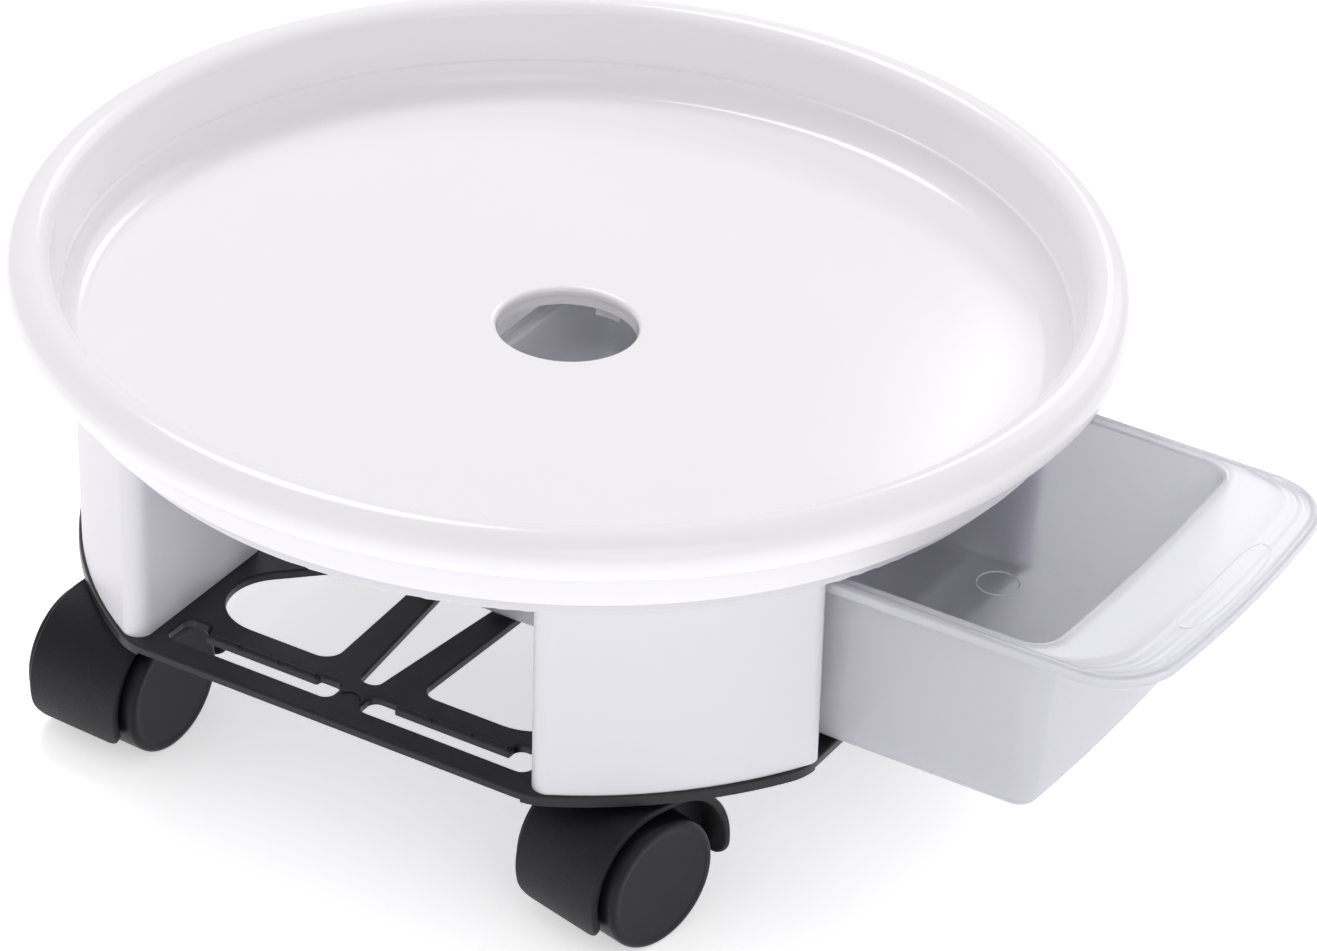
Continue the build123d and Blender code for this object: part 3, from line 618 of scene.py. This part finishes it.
def screwTree():
    sizes = ["Head Radius", "Cross Width", "Cross Length", "Cross Depth", "Cross Level"]
    inputs = [(label, "NodeSocketFloat") for label in sizes]
    inputs += [("Segments", "NodeSocketInt"), ("Section", "NodeSocketObject")]
    inputs.append(("Finish", "NodeSocketMaterial"))
    tree, entry, out = newTree("screwSet", inputs)
    value = entry.outputs
    section = addNode(tree, "GeometryNodeObjectInfo", linked={"Object": value["Section"]})
    turned = sweepRound(tree, section.outputs["Geometry"], value["Head Radius"], value["Segments"])
    merged = addNode(tree, "GeometryNodeMergeByDistance", {"Distance": 2e-6}, {"Geometry": turned})
    outward = addNode(tree, "GeometryNodeFlipFaces", linked={"Mesh": merged.outputs[0]})
    cut = tree.nodes.new("GeometryNodeMeshBoolean")
    cut.operation = "DIFFERENCE"
    cut.solver = "EXACT"
    tree.links.new(outward.outputs[0], cut.inputs["Mesh 1"])
    for long, short in (("Cross Length", "Cross Width"), ("Cross Width", "Cross Length")):
        slot = barOf(tree, value[long], value[short], value["Cross Depth"])
        tree.links.new(lifted(tree, slot, value["Cross Level"]), cut.inputs["Mesh 2"])
    links = {"Points": value["Geometry"], "Instance": cut.outputs["Mesh"]}
    copies = addNode(tree, "GeometryNodeInstanceOnPoints", linked=links)
    closeTree(tree, entry, out, [copies.outputs[0]])
    return tree


def makeScrews():
    s = screw
    low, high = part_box("base_screws")
    length = (high.z - low.z) / mm
    far = high.x / mm - s["headRadius"]
    core, head = s["shankRadius"], s["headHeight"]
    section = [(0, 0)] + arc((s["headRadius"] - s["headEdge"], s["headEdge"]), s["headEdge"], -90, 0, 5)
    section += [(s["headRadius"], head), (core, head)]
    count = int((length - head - s["tipChamfer"]) / s["threadPitch"])
    for number in range(count):
        start = head + number * s["threadPitch"]
        section += [(core, start + 0.3), (core - s["threadDepth"], start + s["threadPitch"] / 2)]
        section += [(core, start + s["threadPitch"] - 0.3)]
    section += [(core, length - s["tipChamfer"]), (core - s["tipChamfer"], length), (0, length)]
    turned = sectionObject("screwSection", [section], s["headRadius"], closed=False)
    places = [(x * sx * mm, y * sy * mm, low.z) for x, y in ((s["near"], far), (far, s["near"]))
              for sx in (-1, 1) for sy in (-1, 1)]
    mesh = bpy.data.meshes.new("screwPlaces")
    mesh.from_pydata(places, [], [])
    source = bpy.data.objects.new("screwPlaces", mesh)
    bpy.context.scene.collection.objects.link(source)
    values = {
        "Head Radius": s["headRadius"] * mm,
        "Cross Width": s["cross"] * mm,
        "Cross Length": s["crossReach"] * 2 * mm,
        "Cross Depth": s["crossDepth"] * 2 * mm,
        "Cross Level": 0.0,
        "Segments": s["segments"],
        "Section": turned,
        "Finish": finishFor["base_screws"],
    }
    piece = growPiece(source, screwTree(), values, "crossScrews")
    bpy.data.objects.remove(turned)
    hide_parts("base_screws")
    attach(piece, "caddy")


makeScrews()
print("screws made")


drawer = {  # millimetres
    "rimWidth": 4.0,
    "handleReach": 33.0,
    "taper": 3.86,
    "wall": 1.8,
    "trayBow": 1.9,
    "handleBow": 4.0,
    "backCorner": 10.0,
    "handleCorner": 22.0,
    "bottomRadius": 3.4,
    "lipDrop": 4.0,
    "lipThickness": 1.6,
    "lipRadius": 1.3,
    "outerFlat": 2.1,  # from the rim's edge and from the tray to the flat between them
    "innerFlat": 0.9,
    "innerEdge": 1.3,  # rounding between the rim and the inside
    "innerBead": 0.2,
    "bead": 0.45,  # how far the rim's outer bead stands above its flat
    "step": 0.16,  # height of each fine step across the handle
    "gateRing": 7.0,
    "gateBack": 70.0,
    "gateSide": 11.5,
    "frontSteps": 14,
    "cornerSteps": 14,
    "sideSteps": 30,
}


def drawerLoop(half, back, front, bow, backRadius, frontRadius):
    # one closed line of points round the drawer, always the same number in the same order
    y = half - frontRadius
    for _ in range(4):
        slope = math.atan(2 * bow * y / half**2)
        y = half - frontRadius + frontRadius * math.sin(slope)
    endX = front - bow * (y / half)**2
    centre = (endX - frontRadius * math.cos(slope), half - frontRadius)
    quarter = []
    for i in range(drawer["frontSteps"]):
        part = y * i / drawer["frontSteps"]
        quarter.append((front - bow * (part / half)**2, part))
    quarter += arc(centre, frontRadius, math.degrees(slope), 90, drawer["cornerSteps"])
    last = (back + backRadius, half)
    steps = drawer["sideSteps"]
    quarter += [(centre[0] + (last[0] - centre[0]) * i / steps, half) for i in range(1, steps)]
    quarter += arc((back + backRadius, half - backRadius), backRadius, 90, 180, drawer["cornerSteps"])
    quarter += [(back, (half - backRadius) * (1 - i / 8)) for i in range(1, 8)]
    quarter.append((back, 0))
    return quarter + [(x, -y) for x, y in reversed(quarter[1:-1])]


def makeDrawer():
    d = drawer
    low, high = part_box("drawer")
    half, back, front = high.y / mm, low.x / mm, high.x / mm
    bottom, top = low.z / mm, high.z / mm
    height = top - bottom

    def rimLoop(inset):
        return drawerLoop(half - inset, back + inset, front - inset, d["handleBow"],
                          d["backCorner"] - inset, d["handleCorner"] - inset)

    def trayLoop(inset):
        reach = d["rimWidth"] + inset
        return drawerLoop(half - reach, back + reach, front - d["handleReach"] - inset, d["trayBow"],
                          max(d["backCorner"] - inset, 0.8), max(d["backCorner"] - inset, 0.8))

    def between(first, second, share):
        return [(a[0] + (b[0] - a[0]) * share, a[1] + (b[1] - a[1]) * share) for a, b in zip(first, second)]

    def lean(z):
        return d["taper"] * (top - z) / height

    loops = []  # pairs of a loop and its height, from under the floor, over the rim, to the floor inside
    r = d["bottomRadius"]
    for i in range(7):
        t = math.radians(90 * i / 6)
        z = bottom + r * (1 - math.cos(t))
        loops.append((trayLoop(lean(z) + r * (1 - math.sin(t))), z))
    under = top - d["wall"]
    for i in range(1, 7):
        z = bottom + r + (under - bottom - r) * i / 6
        loops.append((trayLoop(lean(z)), z))
    inner = d["lipThickness"]
    loops.append((between(trayLoop(lean(under)), rimLoop(inner), 0.5), under))
    loops.append((rimLoop(inner), under))
    loops += [(rimLoop(inner), top - d["lipDrop"] + 0.4), (rimLoop(inner - 0.35), top - d["lipDrop"])]
    loops += [(rimLoop(0.4), top - d["lipDrop"]), (rimLoop(0), top - d["lipDrop"] + 0.4)]
    for i in range(6):
        t = math.radians(90 * i / 5)
        z = top - d["lipRadius"] * (1 - math.sin(t))
        loops.append((rimLoop(d["lipRadius"] * (1 - math.cos(t))), z))
    flat = top - d["bead"]
    outerBead, innerBead = rimLoop(d["outerFlat"]), trayLoop(-d["innerFlat"])
    loops += [(rimLoop(1.75), top - d["bead"] * 0.35), (outerBead, flat)]
    for share, level in ((0.05, 0), (0.08, 1), (0.14, 1), (0.17, 0), (0.23, 0), (0.26, 1), (0.34, 1),
                         (0.37, 0.2), (0.7, 0.2), (0.9, 0.1)):
        loops.append((between(outerBead, innerBead, share), flat + d["step"] * level))
    loops += [(innerBead, flat), (trayLoop(-0.4), flat + 0.18), (trayLoop(0.1), flat + d["innerBead"])]
    edge = d["innerEdge"]
    for i in range(7):
        t = math.radians(90 * i / 6)
        z = flat + d["innerBead"] - edge * (1 - math.cos(t))
        loops.append((trayLoop(d["wall"] - edge * (1 - math.sin(t))), z))
    floor = bottom + d["wall"]
    small = r - d["wall"] / 2
    for i in range(1, 7):
        z = flat - edge + (floor + small - flat + edge) * i / 6
        loops.append((trayLoop(d["wall"] + lean(z)), z))
    for i in range(1, 7):
        t = math.radians(90 * i / 6)
        z = floor + small * (1 - math.sin(t))
        loops.append((trayLoop(d["wall"] + lean(z) + small * (1 - math.cos(t))), z))

    shape = bmesh.new()
    rings = [[shape.verts.new((x * mm, y * mm, z * mm)) for x, y in loop] for loop, z in loops]
    count = len(rings[0])
    for lower, upper in zip(rings, rings[1:]):
        for i in range(count):
            j = (i + 1) % count
            shape.faces.new((lower[i], lower[j], upper[j], upper[i]))
    for ring, z in ((rings[0], loops[0][1]), (rings[-1], loops[-1][1])):
        pole = shape.verts.new(((back + front - d["handleReach"]) / 2 * mm, 0, z * mm))
        for i in range(count):
            shape.faces.new((ring[i], ring[(i + 1) % count], pole))
    mesh = bpy.data.meshes.new("frostedDrawer")
    shape.to_mesh(mesh)
    shape.free()
    mesh.materials.append(finishFor["drawer"])
    tidyMesh(mesh, 40)
    piece = bpy.data.objects.new("frostedDrawer", mesh)
    bpy.context.scene.collection.objects.link(piece)
    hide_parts("drawer")
    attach(piece, "drip_drawer")
    return half, front, flat, floor


drawerHalf, drawerFront, drawerFlat, drawerFloor = makeDrawer()
print("drawer made")


bead = {  # millimetres
    "slotInset": 16.1,  # from the base's edge in to the slot's inner edge
    "start": 14.6,
    "end": 52.6,
    "notches": (27.0, 41.0),
    "notchWidth": 1.6,
    "radius": 0.9,
    "proud": 0.45,  # how far a bead stands above its plate
    "bridgeArc": 3.4,
    "bridgeInset": 12.46,
    "bridgeSweep": (200, 340),
    "bridgeRadius": 0.35,
    "gripWidth": 9.0,  # the long outline on the handle
    "gripLength": 54.0,
    "gripInset": 8.6,
    "gripRadius": 0.28,
    "sides": 12,
}


def beadTree():
    inputs = [("Bead Radius", "NodeSocketFloat"), ("Bead Sides", "NodeSocketInt")]
    inputs.append(("Finish", "NodeSocketMaterial"))
    tree, entry, out = newTree("beadAlongPath", inputs)
    value = entry.outputs
    section = addNode(tree, "GeometryNodeCurvePrimitiveCircle",
                      linked={"Radius": value["Bead Radius"], "Resolution": value["Bead Sides"]})
    swept = addNode(tree, "GeometryNodeCurveToMesh", {"Fill Caps": True},
                    {"Curve": value["Geometry"], "Profile Curve": section.outputs["Curve"]})
    closeTree(tree, entry, out, [swept.outputs["Mesh"]])
    return tree


def makeBeads():
    b = bead
    tree = beadTree()
    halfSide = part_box("base_frame")[1].x / mm
    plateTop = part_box("body_shell")[0].z / mm  # the legs stand on the plate
    slotEdge = halfSide - b["slotInset"]
    bridgePlace = halfSide - b["bridgeInset"]

    def grow(lines, closed, radius, name, finish, body):
        paths = [[(x * mm, y * mm, z * mm) for x, y, z in line] for line in lines]
        source = curveObject(name + "Path", paths, closed)
        values = {"Bead Radius": radius * mm, "Bead Sides": b["sides"], "Finish": finish}
        piece = growPiece(source, tree, values, name)
        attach(piece, body)

    level = plateTop + b["proud"] - b["radius"]
    stops = [b["start"]]
    for notch in b["notches"]:
        stops += [notch - b["notchWidth"] / 2, notch + b["notchWidth"] / 2]
    stops.append(b["end"])
    lines = []
    for side in range(4):
        turn = Matrix.Rotation(math.radians(90 * side), 3, "Z")
        for flip in (-1, 1):
            for first, last in zip(stops[::2], stops[1::2]):
                y = slotEdge - b["radius"]
                lines.append([tuple(turn @ Vector((x * flip, y, level))) for x in (first, last)])
    grow(lines, False, b["radius"], "slotBeads", finishFor["base_frame"], "caddy")

    arcs = []
    level = plateTop + b["bridgeRadius"] * 0.3
    for side in range(4):
        turn = Matrix.Rotation(math.radians(90 * side), 3, "Z")
        points = arc((0, bridgePlace), b["bridgeArc"], *b["bridgeSweep"], 16)
        arcs.append([tuple(turn @ Vector((x, y, level))) for x, y in points])
    grow(arcs, False, b["bridgeRadius"], "bridgeArcs", finishFor["base_frame"], "caddy")

    d = drawer
    ringPlace = (drawerFront - d["handleReach"] - d["gateBack"],
                 drawerHalf - d["rimWidth"] - d["taper"] - d["gateSide"])
    gate = [(x, y, drawerFloor + 0.05) for x, y in arc(ringPlace, d["gateRing"] - 0.25, 0, 360, 64)[:-1]]
    middle = drawerFront - b["gripInset"]
    reach, width = b["gripLength"] / 2, b["gripWidth"] / 2
    grip = []
    for i in range(72):
        t = math.tau * i / 72
        y = reach * math.copysign(abs(math.cos(t))**0.6, math.cos(t))
        x = middle + width * math.copysign(abs(math.sin(t))**0.8, math.sin(t))
        x -= d["handleBow"] * (y / drawerHalf)**2  # it follows the handle's bowed edge
        grip.append((x, y, drawerFlat + d["step"] * 0.2))
    # the gate ring and the grip outline take the lighter edge finish, a painted highlight
    grow([gate], True, 0.3, "gateRing", highlightedEdgeFinish, "drip_drawer")
    grow([grip], True, b["gripRadius"], "gripOutline", highlightedEdgeFinish, "drip_drawer")


makeBeads()
print("beads made")
